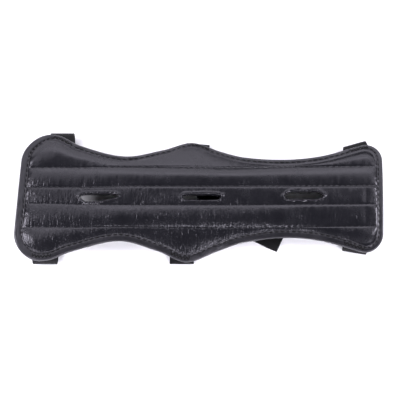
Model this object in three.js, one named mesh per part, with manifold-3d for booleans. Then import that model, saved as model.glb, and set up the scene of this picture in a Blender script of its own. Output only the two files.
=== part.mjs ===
// An archery arm guard lying face up: an arched, padded forearm shield with a bound edge,
// three webbing straps under its back edge and three webbing tabs under its front edge.
// Millimetres. +X runs from the elbow end to the wrist end, +Y from the tabs to the straps, +Z is up.

import * as THREE from "three";
import { mergeVertices } from "three/addons/utils/BufferGeometryUtils.js";
import Module from "manifold-3d";

// Overall form of the guard
const CROWN_HEIGHT = 16.5; // lining above the surface, along the middle line
const SKEW = 0.04; // shift of a section along X for each millimetre across it
const ELBOW_CORNER = 24; // outline radius of the elbow end's corners
const WRIST_CORNER = 17; // outline radius of the wrist end's corners

// Sections of the guard, from the elbow end to the wrist end: x of the section, half its width
// measured along the arch, how far its edge drops below the crown, and y of its middle line.
const SECTIONS = [
  { x: -150.5, half: 55, drop: 1.4, middle: 1 },
  { x: -122, half: 55.5, drop: 1.6, middle: 0.9 },
  { x: -102, half: 46.9, drop: 2.4, middle: 0.2 },
  { x: -64, half: 37.7, drop: 3.2, middle: 0 },
  { x: -32, half: 45.5, drop: 7.2, middle: 0 },
  { x: -8, half: 54.3, drop: 11.2, middle: 0 },
  { x: 17, half: 45.2, drop: 9.8, middle: 0 },
  { x: 37, half: 38.5, drop: 7.2, middle: 0.1 },
  { x: 71, half: 34.9, drop: 4.6, middle: 0.4 },
  { x: 102, half: 38, drop: 4.6, middle: 0.7 },
  { x: 138, half: 48.2, drop: 5.4, middle: 1.1 },
  { x: 152.5, half: 49.5, drop: 5.2, middle: 1.2 },
];

// Padding: five lengthwise channels between four seams, pressed thin along the rim. place: distance of
// a seam from the middle line. elbow, wrist: how far it has moved across by each end.
const SEAMS = [
  { place: -26, elbow: -2, wrist: -0.6 },
  { place: -7.6, elbow: 0.3, wrist: -0.4 },
  { place: 8.9, elbow: -2.1, wrist: -0.6 },
  { place: 27.1, elbow: -2.6, wrist: -0.9 },
];
const DRIFT_FROM = 50; // distance from the middle, along X, where the seams begin to drift
const DRIFT_TO = 140; // distance where they have drifted in full
const LEAST_CHANNEL = 1; // least width of an outer channel, at the rounded corners
const SEAM_THICKNESS = 3.2; // pad at the bottom of a seam
const RIM_THICKNESS = 1.6; // pad under the binding
const RIM_WIDTH = 5.2; // pressed strip along the pad's edge
const LEAST_RIM = 2; // the strip's share of a straight end, where the corner begins

// Bulge of the channels over their width, from the front one to the back one, in the middle of the guard
// and at its two ends. lean: how far the bulge leans to the back at those three places.
const CHANNELS = [
  { puff: { middle: 0.03, elbow: 0.09, wrist: 0.09 }, lean: { middle: 0, elbow: 0, wrist: 0 } },
  { puff: { middle: 0.095, elbow: 0.055, wrist: 0.03 }, lean: { middle: 0, elbow: 0, wrist: 1 } },
  { puff: { middle: 0.04, elbow: 0.05, wrist: 0.05 }, lean: { middle: 1, elbow: 1, wrist: 1 } },
  { puff: { middle: 0.075, elbow: 0.055, wrist: 0.055 }, lean: { middle: 0, elbow: 0, wrist: 0 } },
  { puff: { middle: 0, elbow: 0.09, wrist: 0.09 }, lean: { middle: 0, elbow: 0, wrist: 0 } },
];
const LEAN_POWER = 12; // how close to its back seam a leaning bulge is highest
const PUFF_FROM = 65; // distance from the middle, along X, where the puff begins to change
const PUFF_TO = 115; // distance where it has its value for the ends
const PILLOW_END = 7; // length over which a channel rises from its end

// Vent slots in the middle channel. x, y: middle of a slot, from the guard's middle line.
const SLOT_LENGTH = 32;
const SLOT_WIDTH = 6;
const SLOTS = [
  { x: -82.6, y: -1.8 },
  { x: 1.9, y: 0 },
  { x: 86.5, y: 0.2 },
];

// Binding folded over the rim
const GAP = 0.3; // between pieces that meet
const BINDING_WALL = 1;
const BINDING_REACH = GAP + BINDING_WALL; // from the pad's edge to the outline
const BINDING_FLAP = 4.6; // from the pad's edge to the binding's inner edges
const BINDING_SHOULDER = 0.7; // where its outer side turns, over its reach and over half its height

// Webbing
const WEB_WIDTH = 20;
const WEB_THICKNESS = 1.5;
const WEB_DEPTH = BINDING_REACH + GAP + WEB_THICKNESS / 2; // sewn webbing's middle, below the lining
const FLOOR_LEVEL = WEB_THICKNESS / 2; // middle of the webbing that lies on the surface
const LAP_LEVEL = FLOOR_LEVEL + WEB_THICKNESS + GAP; // middle of a strap that lies on its tab
const LEAST_FOLD = 2.2; // least height of a fold, between the middles of its two layers
const LAP_RAMP = 14; // length over which a strap climbs onto its tab

// Strips of webbing. side: 1 for the back edge, -1 for the front edge. x: middle of the fold.
// lean: degrees from straight across the guard, toward the elbow on the way out. reach: outermost
// line of the fold from the middle line. sewn: length under the pad. end: x, y and heading in degrees
// of the free end on the surface. lap: length that lies on the tab.
const STRIPS = [
  { name: "strap_elbow", side: 1, x: -116.5, lean: 0, reach: 61.6, sewn: 20, end: [-127, -24, -90], lap: 32 },
  { name: "strap_middle", side: 1, x: -1, lean: -6, reach: 53.9, sewn: 16, end: [68.4, -33.3, -25], lap: 0 },
  { name: "strap_wrist", side: 1, x: 132.3, lean: 17, reach: 52.6, sewn: 20, end: [134, -22, -100], lap: 30 },
  { name: "tab_elbow", side: -1, x: -126.6, lean: 0, reach: 53.8, sewn: 16, end: [-126.6, 4, 90], lap: 0 },
  { name: "tab_middle", side: -1, x: -14.3, lean: 0, reach: 52.4, sewn: 16, end: [-14.3, -22, 90], lap: 0 },
  { name: "tab_wrist", side: -1, x: 128, lean: 10, reach: 43.6, sewn: 14, end: [136.1, 2, 80], lap: 0 },
];
const RUN_PULL = 0.42; // straight lead at both ends of a strip's run, over the distance between them

// Mesh steps
const CORNER_STEPS = 5;
const PILLOW_STEPS = 4;
const BODY_STEPS = 40;
const CHANNEL_STEPS = 4;
const SEWN_STEPS = 3;
const FOLD_STEPS = 8;
const RUN_STEPS = 12;
const SLOT_ARC_STEPS = 5;

// Colours and finishes
const VINYL = { color: 0x1f1e24, roughness: 0.32, metalness: 0 };
const BINDING = { color: 0x222126, roughness: 0.38, metalness: 0 };
const WEBBING = { color: 0x18181a, roughness: 0.8, metalness: 0 };

const ELBOW_END = SECTIONS[0].x;
const WRIST_END = SECTIONS.at(-1).x;

const { clamp, degToRad, lerp, smoothstep } = THREE.MathUtils;

// A column of SECTIONS at x: a cubic through the rows, with each row's slope taken from its neighbours.
function sectionValue(column, x) {
  const last = SECTIONS.length - 1;
  const slopeAt = (row) => {
    const before = SECTIONS[Math.max(row - 1, 0)];
    const after = SECTIONS[Math.min(row + 1, last)];
    return (after[column] - before[column]) / (after.x - before.x);
  };
  const passed = SECTIONS.filter((section) => section.x <= x).length;
  const row = clamp(passed - 1, 0, last - 1);
  const start = SECTIONS[row];
  const end = SECTIONS[row + 1];
  const span = end.x - start.x;
  const t = clamp((x - start.x) / span, 0, 1);
  const ease = t * t * (3 - 2 * t);
  const startPull = t * (1 - t) ** 2 * span * slopeAt(row);
  const endPull = t * t * (t - 1) * span * slopeAt(row + 1);
  return lerp(start[column], end[column], ease) + startPull + endPull;
}

// Radius of the arch at x: the arc that drops by the section's drop over half its width.
function archRadius(x) {
  return sectionValue("half", x) ** 2 / (2 * sectionValue("drop", x));
}

// Point at a height over the lining, across millimetres along the arch from the middle line.
function onArch(x, across, height) {
  const radius = archRadius(x);
  const angle = across / radius;
  return new THREE.Vector3(
    x + SKEW * across,
    sectionValue("middle", x) + (radius + height) * Math.sin(angle),
    CROWN_HEIGHT - radius + (radius + height) * Math.cos(angle),
  );
}

function nearerEnd(x) {
  return x < 0 ? "elbow" : "wrist";
}

function distanceFromEnd(x) {
  return Math.min(x - ELBOW_END, WRIST_END - x);
}

// Half the width at x, along the arch, of the outline moved in by an inset, with the corners rounded.
function outlineHalf(x, inset) {
  const corner = (x < 0 ? ELBOW_CORNER : WRIST_CORNER) - inset;
  const intoCorner = clamp(corner + inset - distanceFromEnd(x), 0, corner);
  const roundedOff = corner - Math.sqrt(corner ** 2 - intoCorner ** 2);
  const slope = (sectionValue("half", x + 1) - sectionValue("half", x - 1)) / 2;
  return sectionValue("half", x) - inset * Math.hypot(1, slope) - roundedOff;
}

function padHalf(x) {
  return outlineHalf(x, BINDING_REACH);
}

// Half the width of the padded part at x, inside the pressed rim.
function paddedHalf(x) {
  return Math.min(outlineHalf(x, BINDING_REACH + RIM_WIDTH), padHalf(x) - LEAST_RIM);
}

// Lines across the padded part at x: its front edge, the four seams and its back edge.
function channelLines(x) {
  const drifted = smoothstep(Math.abs(x), DRIFT_FROM, DRIFT_TO);
  const edge = paddedHalf(x);
  const widest = edge - LEAST_CHANNEL;
  const end = nearerEnd(x);
  const seams = SEAMS.map((seam) => clamp(seam.place + seam[end] * drifted, -widest, widest));
  return [-edge, ...seams, edge];
}

// Share of a channel's bulge at t across it: half a wave of a sine, or where it leans a ramp that
// falls at its back.
function bulgeShare(t, lean) {
  const ramp = ((LEAN_POWER + 1) ** (1 + 1 / LEAN_POWER) / LEAN_POWER) * t * (1 - t ** LEAN_POWER);
  return lerp(Math.sin(Math.PI * t), ramp, lean);
}

// Thickness of the pad: a bulge over each channel, rising from the rim at the channel's ends.
function padThickness(x, across) {
  const lines = channelLines(x);
  const fromEnd = distanceFromEnd(x) - BINDING_REACH - RIM_WIDTH;
  const channel = lines.findIndex((line) => across < line) - 1;
  if (channel < 0 || fromEnd <= 0) {
    return RIM_THICKNESS;
  }
  const last = lines.length - 2;
  const width = lines[channel + 1] - lines[channel];
  const t = (across - lines[channel]) / width;
  const near = channel === 0 ? RIM_THICKNESS : SEAM_THICKNESS;
  const far = channel === last ? RIM_THICKNESS : SEAM_THICKNESS;
  const { puff, lean } = CHANNELS[channel];
  const end = nearerEnd(x);
  const toEnd = smoothstep(Math.abs(x), PUFF_FROM, PUFF_TO);
  const share = bulgeShare(t, lerp(lean.middle, lean[end], toEnd));
  const bulge = lerp(puff.middle, puff[end], toEnd) * width * share;
  const rise = Math.sqrt(1 - (1 - Math.min(fromEnd / PILLOW_END, 1)) ** 2);
  return lerp(RIM_THICKNESS, lerp(near, far, t) + bulge, rise);
}

// Stations along the pad, close together at the rounded corners and at the ends of the channels.
function padStations() {
  const nearEnd = (corner) => {
    const offsets = [RIM_WIDTH];
    for (let i = 0; i <= CORNER_STEPS; i++) {
      const turn = (Math.PI / 2) * (i / CORNER_STEPS);
      offsets.push((corner - BINDING_REACH) * (1 - Math.cos(turn)));
    }
    for (let i = 1; i <= PILLOW_STEPS; i++) {
      offsets.push(RIM_WIDTH + PILLOW_END * (i / PILLOW_STEPS) ** 2);
    }
    return offsets.sort((a, b) => a - b);
  };
  const elbow = nearEnd(ELBOW_CORNER).map((offset) => ELBOW_END + BINDING_REACH + offset);
  const wrist = nearEnd(WRIST_CORNER).map((offset) => WRIST_END - BINDING_REACH - offset).reverse();
  const body = [];
  for (let i = 1; i < BODY_STEPS; i++) {
    body.push(lerp(elbow.at(-1), wrist[0], i / BODY_STEPS));
  }
  return [...elbow, ...body, ...wrist];
}

// Places across the pad at a station: the rim's two edges and the steps of each channel.
function acrossPlaces(x) {
  const lines = channelLines(x);
  const places = [-padHalf(x), lines[0]];
  for (let channel = 0; channel < lines.length - 1; channel++) {
    for (let i = 1; i <= CHANNEL_STEPS; i++) {
      places.push(lerp(lines[channel], lines[channel + 1], i / CHANNEL_STEPS));
    }
  }
  return [...places, padHalf(x)];
}

// Grid places in order round the edge of a grid, anticlockwise from its first corner.
function edgeLoop(rows, columns) {
  const loop = [];
  for (let row = 0; row < rows - 1; row++) {
    loop.push([row, 0]);
  }
  for (let column = 0; column < columns - 1; column++) {
    loop.push([rows - 1, column]);
  }
  for (let row = rows - 1; row > 0; row--) {
    loop.push([row, columns - 1]);
  }
  for (let column = columns - 1; column > 0; column--) {
    loop.push([0, column]);
  }
  return loop;
}

function indexedGeometry(points, triangles) {
  const geometry = new THREE.BufferGeometry().setFromPoints(points);
  geometry.setIndex(triangles.flat());
  return geometry;
}

// Closed solid between two grids of points, with the upper grid's rows along +X and columns along +Y.
function slabGeometry(upper, lower) {
  const rows = upper.length;
  const columns = upper[0].length;
  const top = (row, column) => row * columns + column;
  const bottom = (row, column) => rows * columns + top(row, column);
  const triangles = [];
  for (let row = 0; row < rows - 1; row++) {
    for (let column = 0; column < columns - 1; column++) {
      const corners = [[row, column], [row + 1, column], [row + 1, column + 1], [row, column + 1]];
      const [a, b, c, d] = corners.map((place) => top(...place));
      triangles.push([a, b, c], [a, c, d]);
      const [e, f, g, h] = corners.map((place) => bottom(...place));
      triangles.push([e, g, f], [e, h, g]);
    }
  }
  const loop = edgeLoop(rows, columns);
  loop.forEach((place, i) => {
    const next = loop[(i + 1) % loop.length];
    triangles.push([bottom(...place), bottom(...next), top(...next)]);
    triangles.push([bottom(...place), top(...next), top(...place)]);
  });
  return indexedGeometry([...upper.flat(), ...lower.flat()], triangles);
}

// Closed solid swept through sections of equal count, each anticlockwise seen from the way ahead.
// A ring joins its last section to its first, and an open sweep has convex ends.
function sweptGeometry(sections, ring) {
  const count = sections[0].length;
  const place = (section, corner) => (section % sections.length) * count + (corner % count);
  const triangles = [];
  const spans = ring ? sections.length : sections.length - 1;
  for (let section = 0; section < spans; section++) {
    for (let corner = 0; corner < count; corner++) {
      const a = place(section, corner);
      const b = place(section, corner + 1);
      const c = place(section + 1, corner + 1);
      const d = place(section + 1, corner);
      triangles.push([a, b, c], [a, c, d]);
    }
  }
  for (let corner = 1; corner < count - 1 && !ring; corner++) {
    triangles.push([place(0, 0), place(0, corner + 1), place(0, corner)]);
    triangles.push([place(spans, 0), place(spans, corner), place(spans, corner + 1)]);
  }
  return indexedGeometry(sections.flat(), triangles);
}

function namedMesh(name, geometry, finish) {
  geometry.computeVertexNormals();
  const mesh = new THREE.Mesh(geometry, new THREE.MeshStandardMaterial(finish));
  mesh.name = name;
  return mesh;
}

const wasm = await Module();
wasm.setup();

function solidOf(geometry) {
  const bare = geometry.clone();
  bare.deleteAttribute("normal");
  bare.deleteAttribute("uv");
  const merged = mergeVertices(bare);
  const vertProperties = new Float32Array(merged.getAttribute("position").array);
  const triVerts = new Uint32Array(merged.index.array);
  return new wasm.Manifold(new wasm.Mesh({ numProp: 3, vertProperties, triVerts }));
}

function geometryOf(solid) {
  const { vertProperties, triVerts } = solid.getMesh();
  const geometry = new THREE.BufferGeometry();
  geometry.setAttribute("position", new THREE.BufferAttribute(vertProperties, 3));
  geometry.setIndex(new THREE.BufferAttribute(triVerts, 1));
  return geometry;
}

// Upright block with rounded ends that cuts one vent slot through the pad.
function slotCutter({ x, y }) {
  const radius = SLOT_WIDTH / 2;
  const reach = SLOT_LENGTH / 2 - radius;
  const outline = new THREE.Shape();
  outline.absarc(reach, 0, radius, -Math.PI / 2, Math.PI / 2);
  outline.absarc(-reach, 0, radius, Math.PI / 2, (3 * Math.PI) / 2);
  const settings = { depth: 2 * CROWN_HEIGHT, bevelEnabled: false, curveSegments: SLOT_ARC_STEPS };
  return new THREE.ExtrudeGeometry(outline, settings).translate(x, y, 0);
}

function guardPad() {
  const stations = padStations();
  const gridAt = (heightOf) =>
    stations.map((x) => acrossPlaces(x).map((across) => onArch(x, across, heightOf(x, across))));
  const slab = slabGeometry(gridAt(padThickness), gridAt(() => 0));
  let solid = solidOf(slab);
  for (const slot of SLOTS) {
    solid = solid.subtract(solidOf(slotCutter(slot)));
  }
  return namedMesh("guard_pad", geometryOf(solid), VINYL);
}

// Section of the binding, as inset from the pad's edge and height over the lining: a U round the rim.
function bindingSection() {
  const inside = { low: -GAP, high: RIM_THICKNESS + GAP };
  const outside = { low: -BINDING_REACH, high: RIM_THICKNESS + BINDING_REACH };
  const middle = RIM_THICKNESS / 2;
  const shoulder = -BINDING_SHOULDER * BINDING_REACH;
  return [
    [BINDING_FLAP, inside.low],
    [-GAP, inside.low],
    [-GAP, inside.high],
    [BINDING_FLAP, inside.high],
    [BINDING_FLAP, outside.high],
    [0, outside.high],
    [shoulder, lerp(middle, outside.high, BINDING_SHOULDER)],
    [-BINDING_REACH, middle],
    [shoulder, lerp(middle, outside.low, BINDING_SHOULDER)],
    [0, outside.low],
    [BINDING_FLAP, outside.low],
  ];
}

function edgeBinding() {
  const stations = padStations();
  const columns = acrossPlaces(0).length;
  const edge = edgeLoop(stations.length, columns).map(([row, column]) => {
    const x = stations[row];
    return new THREE.Vector2(x, acrossPlaces(x)[column]);
  });
  const section = bindingSection();
  const sections = edge.map((point, i) => {
    const before = edge.at(i - 1);
    const after = edge[(i + 1) % edge.length];
    const ahead = after.clone().sub(before).normalize();
    const inward = new THREE.Vector2(-ahead.y, ahead.x);
    return section.map(([inset, height]) => {
      const flat = point.clone().addScaledVector(inward, inset);
      return onArch(flat.x, flat.y, height);
    });
  });
  return namedMesh("edge_binding", sweptGeometry(sections, true), BINDING);
}

// Height of sewn webbing straight below a place in plan, with room for the fold beneath it.
function heightUnderPad(plan) {
  const x = plan.x - SKEW * plan.y;
  const radius = archRadius(x);
  const sideways = plan.y - sectionValue("middle", x);
  const height = CROWN_HEIGHT - radius + Math.sqrt((radius - WEB_DEPTH) ** 2 - sideways ** 2);
  return Math.max(height, FLOOR_LEVEL + LEAST_FOLD);
}

// Sweep of a flat strip between two edges, given as lists of matching points.
function stripGeometry(left, right) {
  const middles = left.map((point, i) => point.clone().lerp(right[i], 0.5));
  const sections = middles.map((middle, i) => {
    const before = middles[Math.max(i - 1, 0)];
    const after = middles[Math.min(i + 1, middles.length - 1)];
    const ahead = after.clone().sub(before).normalize();
    const across = right[i].clone().sub(left[i]).normalize();
    const normal = ahead.clone().cross(across).normalize();
    const corner = (side, face) =>
      middle.clone()
        .addScaledVector(across, (side * WEB_WIDTH) / 2)
        .addScaledVector(normal, (face * WEB_THICKNESS) / 2);
    return [corner(-1, -1), corner(1, -1), corner(1, 1), corner(-1, 1)];
  });
  return sweptGeometry(sections, false);
}

// A strip from its sewn end, out past the edge, round its fold and along the surface to its free end.
function webbingStrip({ name, side, x, lean, reach, sewn, end, lap }) {
  const tilt = degToRad(lean);
  const outward = new THREE.Vector2(-Math.sin(tilt), side * Math.cos(tilt));
  const across = new THREE.Vector2(-outward.y, outward.x);
  const foldMiddle = new THREE.Vector2(x, side * reach);
  const planAt = (inset, sideways) =>
    foldMiddle.clone().addScaledVector(outward, -inset).addScaledVector(across, sideways);

  // The sewn part is level across, clear of the pad at both of its edges and its middle.
  const sewnLevel = (inset) =>
    Math.min(...[-1, 0, 1].map((place) => heightUnderPad(planAt(inset, (place * WEB_WIDTH) / 2))));
  const foldRadius = (sewnLevel(0) - FLOOR_LEVEL) / 2;
  const [endX, endY, heading] = end;
  const start = planAt(foldRadius, 0);
  const finish = new THREE.Vector2(endX, endY);
  const pull = RUN_PULL * start.distanceTo(finish);
  const endAhead = new THREE.Vector2(Math.cos(degToRad(heading)), Math.sin(degToRad(heading)));
  const run = new THREE.CubicBezierCurve(
    start,
    start.clone().addScaledVector(outward, -pull),
    finish.clone().addScaledVector(endAhead, -pull),
    finish,
  );
  const runLength = run.getLength();

  const edgePoints = (sideways) => {
    const points = [];
    for (let i = 0; i <= SEWN_STEPS; i++) {
      const inset = lerp(sewn, foldRadius, i / SEWN_STEPS);
      const plan = planAt(inset, sideways);
      points.push(new THREE.Vector3(plan.x, plan.y, sewnLevel(inset)));
    }
    const foldTop = sewnLevel(foldRadius);
    for (let i = 1; i <= FOLD_STEPS; i++) {
      const turn = Math.PI * (i / FOLD_STEPS);
      const plan = planAt(foldRadius * (1 - Math.sin(turn)), sideways);
      const height = lerp(FLOOR_LEVEL, foldTop, (1 + Math.cos(turn)) / 2);
      points.push(new THREE.Vector3(plan.x, plan.y, height));
    }
    for (let i = 1; i <= RUN_STEPS; i++) {
      const t = i / RUN_STEPS;
      const ahead = run.getTangentAt(t);
      const plan = run.getPointAt(t).add(new THREE.Vector2(ahead.y, -ahead.x).multiplyScalar(sideways));
      const toEnd = (1 - t) * runLength;
      const climb = lap > 0 ? 1 - smoothstep(toEnd, lap, lap + LAP_RAMP) : 0;
      points.push(new THREE.Vector3(plan.x, plan.y, lerp(FLOOR_LEVEL, LAP_LEVEL, climb)));
    }
    return points;
  };
  return namedMesh(name, stripGeometry(edgePoints(-WEB_WIDTH / 2), edgePoints(WEB_WIDTH / 2)), WEBBING);
}

const armGuard = new THREE.Group();
armGuard.name = "archery_arm_guard";
armGuard.add(guardPad(), edgeBinding(), ...STRIPS.map(webbingStrip));

// The origin is on the surface, below the middle of the whole guard.
const box = new THREE.Box3().setFromObject(armGuard);
const centre = box.getCenter(new THREE.Vector3());
armGuard.position.set(-centre.x, -centre.y, -box.min.z);

export default armGuard;
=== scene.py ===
"""Looks for an archery arm guard: quilted vinyl pad, bound edge, webbing straps and tabs, and stitches."""

import math

import bpy
import numpy as np
from bpy.props import FloatProperty, FloatVectorProperty, PointerProperty
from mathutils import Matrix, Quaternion, Vector


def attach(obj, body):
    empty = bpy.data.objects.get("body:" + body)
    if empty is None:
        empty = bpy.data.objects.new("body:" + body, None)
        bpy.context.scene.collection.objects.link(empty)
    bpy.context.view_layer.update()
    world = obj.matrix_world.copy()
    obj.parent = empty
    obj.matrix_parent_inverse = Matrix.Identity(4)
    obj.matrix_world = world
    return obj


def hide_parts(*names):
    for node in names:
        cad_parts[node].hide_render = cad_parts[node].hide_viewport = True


bl_info = {
    "name": "Archery arm guard",
    "version": (1, 0, 0),
    "blender": (4, 5, 0),
    "location": "View3D > Sidebar > Arm guard",
    "description": "Builds the looks of an archery arm guard round its packed solids",
    "category": "Add Mesh",
}

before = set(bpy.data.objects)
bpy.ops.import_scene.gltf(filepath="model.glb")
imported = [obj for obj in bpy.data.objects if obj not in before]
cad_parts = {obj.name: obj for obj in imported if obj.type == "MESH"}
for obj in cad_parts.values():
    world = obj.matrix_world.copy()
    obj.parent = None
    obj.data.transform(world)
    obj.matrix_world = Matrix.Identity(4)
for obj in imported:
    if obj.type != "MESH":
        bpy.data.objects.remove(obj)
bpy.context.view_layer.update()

MM = 0.001
SEED = 11
LIGHT_TINT = (0.94, 0.92, 1.0)

# The guard's form, as the solids have it, in metres: the middle of the outline from the row's origin, the
# lean of its ends along the guard, and the radius of its corners
MIDDLE_LINE = np.array([-1.0277, -3.6421]) * MM
SKEW = 0.04
CORNERS = {"elbow": 24 * MM, "wrist": 17 * MM}

# Sections from the elbow end to the wrist end: place along the guard, half the width along the arch,
# drop of the edge below the crown, and the middle line's own shift.
SECTION_COLUMNS = ("x", "half", "drop", "middle")
SECTIONS = np.array([
    (-150.5, 55, 1.4, 1),
    (-122, 55.5, 1.6, 0.9),
    (-102, 46.9, 2.4, 0.2),
    (-64, 37.7, 3.2, 0),
    (-32, 45.5, 7.2, 0),
    (-8, 54.3, 11.2, 0),
    (17, 45.2, 9.8, 0),
    (37, 38.5, 7.2, 0.1),
    (71, 34.9, 4.6, 0.4),
    (102, 38, 4.6, 0.7),
    (138, 48.2, 5.4, 1.1),
    (152.5, 49.5, 5.2, 1.2),
]) * MM
ELBOW_END, WRIST_END = SECTIONS[0, 0], SECTIONS[-1, 0]

# Seams from the front to the back: distance from the middle line, and the drift across by the elbow end
# and by the wrist end, which grows over a stretch along the guard
SEAMS = np.array([(-26, -2, -0.6), (-7.6, 0.3, -0.4), (8.9, -2.1, -0.6), (27.1, -2.6, -0.9)]) * MM
DRIFT_FROM, DRIFT_TO = 50 * MM, 140 * MM

# Puff of the channels from the front to the back, bulge over width: in the middle of the guard, at its
# elbow end and at its wrist end, then how far the bulge leans to the back at those three places
PUFFS = (
    (0.03, 0.09, 0.09, 0, 0, 0),
    (0.095, 0.055, 0.03, 0, 0, 1),
    (0.04, 0.05, 0.05, 1, 1, 1),
    (0.075, 0.055, 0.055, 0, 0, 0),
    (0.0, 0.09, 0.09, 0, 0, 0),
)
LEAN_POWER = 12
PUFF_FROM, PUFF_TO = 65 * MM, 115 * MM

# The binding's flap over its usual width, the distance from the middle line at which the front's width
# becomes the back's, and the stretch along the guard where an end's width becomes the sides'
FLAP = {"front": 1.1, "back": 0.74, "elbow": 1.24, "wrist": 0.78}
FLAP_TURN = 15 * MM
FLAP_FROM, FLAP_TO = 8 * MM, 30 * MM

# The stretch across the guard, towards the front, over which the channels' ends come to rise more slowly
SLOW_FROM, SLOW_TO = -22 * MM, -36 * MM

# The cover's grid: distance between rows, rows on a rounded corner and round the end of a slot, rows that
# are too close, the stretch at each end that keeps them, columns from the middle line to each seam and to
# the padded part's edge, and places of columns on the rim
GRID_ROW = 0.9 * MM
CORNER_ROWS, SLOT_ROWS = 26, 8
CROWDED = 0.12 * MM
END_KEPT = 1.2 * MM
CHANNEL_COLUMNS = (12, 20, 22)
RIM_COLUMNS = (0.05, 0.1, 0.15, 0.2, 0.26, 0.32, 0.38, 0.44, 0.5, 0.7, 1)

# Cloth simulation of the cover: times its size, distance between rows, columns to a channel, frames,
# unevenness that it starts with, rows over which its general form is averaged, the cap, and its feel
CLOTH_SCALE = 20
CLOTH_ROW = 2.2 * MM
CLOTH_COLUMNS = 8
CLOTH_FRAMES = 16
CLOTH_UNEVEN = 0.05 * MM
CLOTH_AVERAGE = 17
CLOTH_CAP = 0.35 * MM
CLOTH_FEEL = {
    "quality": 8, "mass": 0.3, "air_damping": 2.0, "tension_stiffness": 15, "compression_stiffness": 15,
    "shear_stiffness": 8, "bending_stiffness": 0.6, "use_pressure": True, "uniform_pressure_force": 3.0,
}

# The cover's small relief: height and reach of the gathers by the seams, the lip's distance from a slot
# and half its width, and depth and reach of the edge that turns in
GATHER_HEIGHT, GATHER_REACH = 0.12 * MM, 3.5 * MM
LIP_PLACE, LIP_HALF = 1.3 * MM, 1.1 * MM
TURN_DEPTH, TURN_REACH = 0.7 * MM, 0.6 * MM

# Vent slots: middle along the guard, then for the back lip and the front lip the widest opening, the place
# of that along the slot (-1 is the elbow side's end, 1 the wrist side's) and two powers that round it off
SLOTS = (
    (-82.6 * MM, (1.9 * MM, 0.1, 4, 0.5), (4.6 * MM, -0.6, 2, 0.9)),
    (1.9 * MM, (1.3 * MM, -0.2, 4, 0.6), (2.9 * MM, 0, 8, 0.5)),
    (86.5 * MM, (3.2 * MM, 0.1, 5, 0.6), (3.0 * MM, -0.1, 6, 0.5)),
)

# Strips of webbing: side of the guard, middle of the fold, lean in degrees, outermost line of the fold,
# length sewn under the pad, free end (x, y, heading in degrees), and the length that lies on the tab.
STRIP_COLUMNS = ("side", "x", "lean", "reach", "sewn", "end_x", "end_y", "heading", "lap")
STRIPS = {
    "strap_elbow": (1, -116.5, 0, 61.6, 20, -127, -24, -90, 32),
    "strap_middle": (1, -1, -6, 53.9, 16, 68.4, -33.3, -25, 0),
    "strap_wrist": (1, 132.3, 17, 52.6, 20, 134, -22, -100, 30),
    "tab_elbow": (-1, -126.6, 0, 53.8, 16, -126.6, 4, 90, 0),
    "tab_middle": (-1, -14.3, 0, 52.4, 16, -14.3, -22, 90, 0),
    "tab_wrist": (-1, 128, 10, 43.6, 14, 136.1, 2, 80, 0),
}

# Webbing: gap between a strip and what it passes, least height of its upper layer, distance over which a
# strap climbs onto its tab, how long a run keeps its direction at each end as a share of the way between
# them, and sections along the sewn part, the fold and the run
WEB_GAP = 0.3 * MM
LEAST_FOLD = 2.2 * MM
CLIMB = 14 * MM
PULL = 0.42
SEWN_STEPS, FOLD_STEPS, RUN_STEPS = 16, 25, 70

# The pad's edge: points that trace a corner and a side, and the distance between points along it for the
# binding and for stitches
TRACED_CORNER, TRACED_SIDE = 60, 400
TAPE_STEP, STITCH_STEP = 0.7 * MM, 0.5 * MM

# Stitches: thread of the seams over that of the border, and how far the border's are sunk in the binding
# and the bar tacks stand on it
SEAM_THREAD = 0.65
STITCH_SINK = 0.12 * MM

# Panels of light: the property with its brightness, width, height, place, the point that it faces, and
# its turn in degrees
PANELS = {
    "back_panel": ("back_light", 2.6, 0.58, (0, 1.0, 0.91), (0, 0, 0.91), 0),
    "back_panel_low": ("back_low_light", 2.6, 0.25, (0, 1.0, 0.495), (0, 0, 0.495), 0),
    "top_panel_left": ("top_light", 0.6, 1.4, (-0.366, 0.88, 1.2), (-0.366, 0.88, 0), -23),
    "top_panel_right": ("top_light", 0.6, 1.4, (0.48, 0.92, 1.2), (0.48, 0.92, 0), 24),
    "side_left": ("side_light", 0.45, 0.55, (-0.97, 0.12, 0.9), (0, 0, 0), 0),
    "front_left": ("front_light", 0.6, 0.35, (-0.62, -0.86, 0.78), (0, 0, 0), 0),
    "side_right": ("side_light", 0.45, 0.55, (0.97, 0.12, 0.9), (0, 0, 0), 0),
    "front_right": ("front_light", 0.6, 0.35, (0.62, -0.86, 0.78), (0, 0, 0), 0),
    "low_left": ("low_light", 0.6, 0.07, (-1.2, 0.05, 0.305), (0, 0.05, 0.01), 0),
    "low_front": ("rim_light", 1.8, 0.18, (0, -1.15, 0.42), (0, 0, 0.01), 0),
}
FLOOR_HALF = 3.0

# The camera looks at a point over the crown, moved to the right and down in the picture
CROWN_TOP = 19.7 * MM
AIM_RIGHT, AIM_DOWN = 0.7 * MM, 3.22 * MM
SENSOR_WIDTH = 36


def linear(hex_colour):
    """Linear RGB of an sRGB hex colour."""
    srgb = np.array([int(hex_colour[i:i + 2], 16) for i in (0, 2, 4)]) / 255
    return tuple(np.where(srgb <= 0.04045, srgb / 12.92, ((srgb + 0.055) / 1.055) ** 2.4).tolist())


def size(name, description, millimetres):
    """Length property with its default in millimetres."""
    return FloatProperty(
        name=name, description=description, default=millimetres * MM, unit="LENGTH", subtype="DISTANCE",
        precision=5,
    )


def colour(name, description, hex_colour):
    """Colour property with its default as an sRGB hex value."""
    return FloatVectorProperty(
        name=name, description=description, default=linear(hex_colour), size=3, subtype="COLOR",
        min=0, max=1,
    )


def strength(name, description, brightness):
    """Property of a light's brightness."""
    return FloatProperty(name=name, description=description, default=brightness, min=0)


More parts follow.
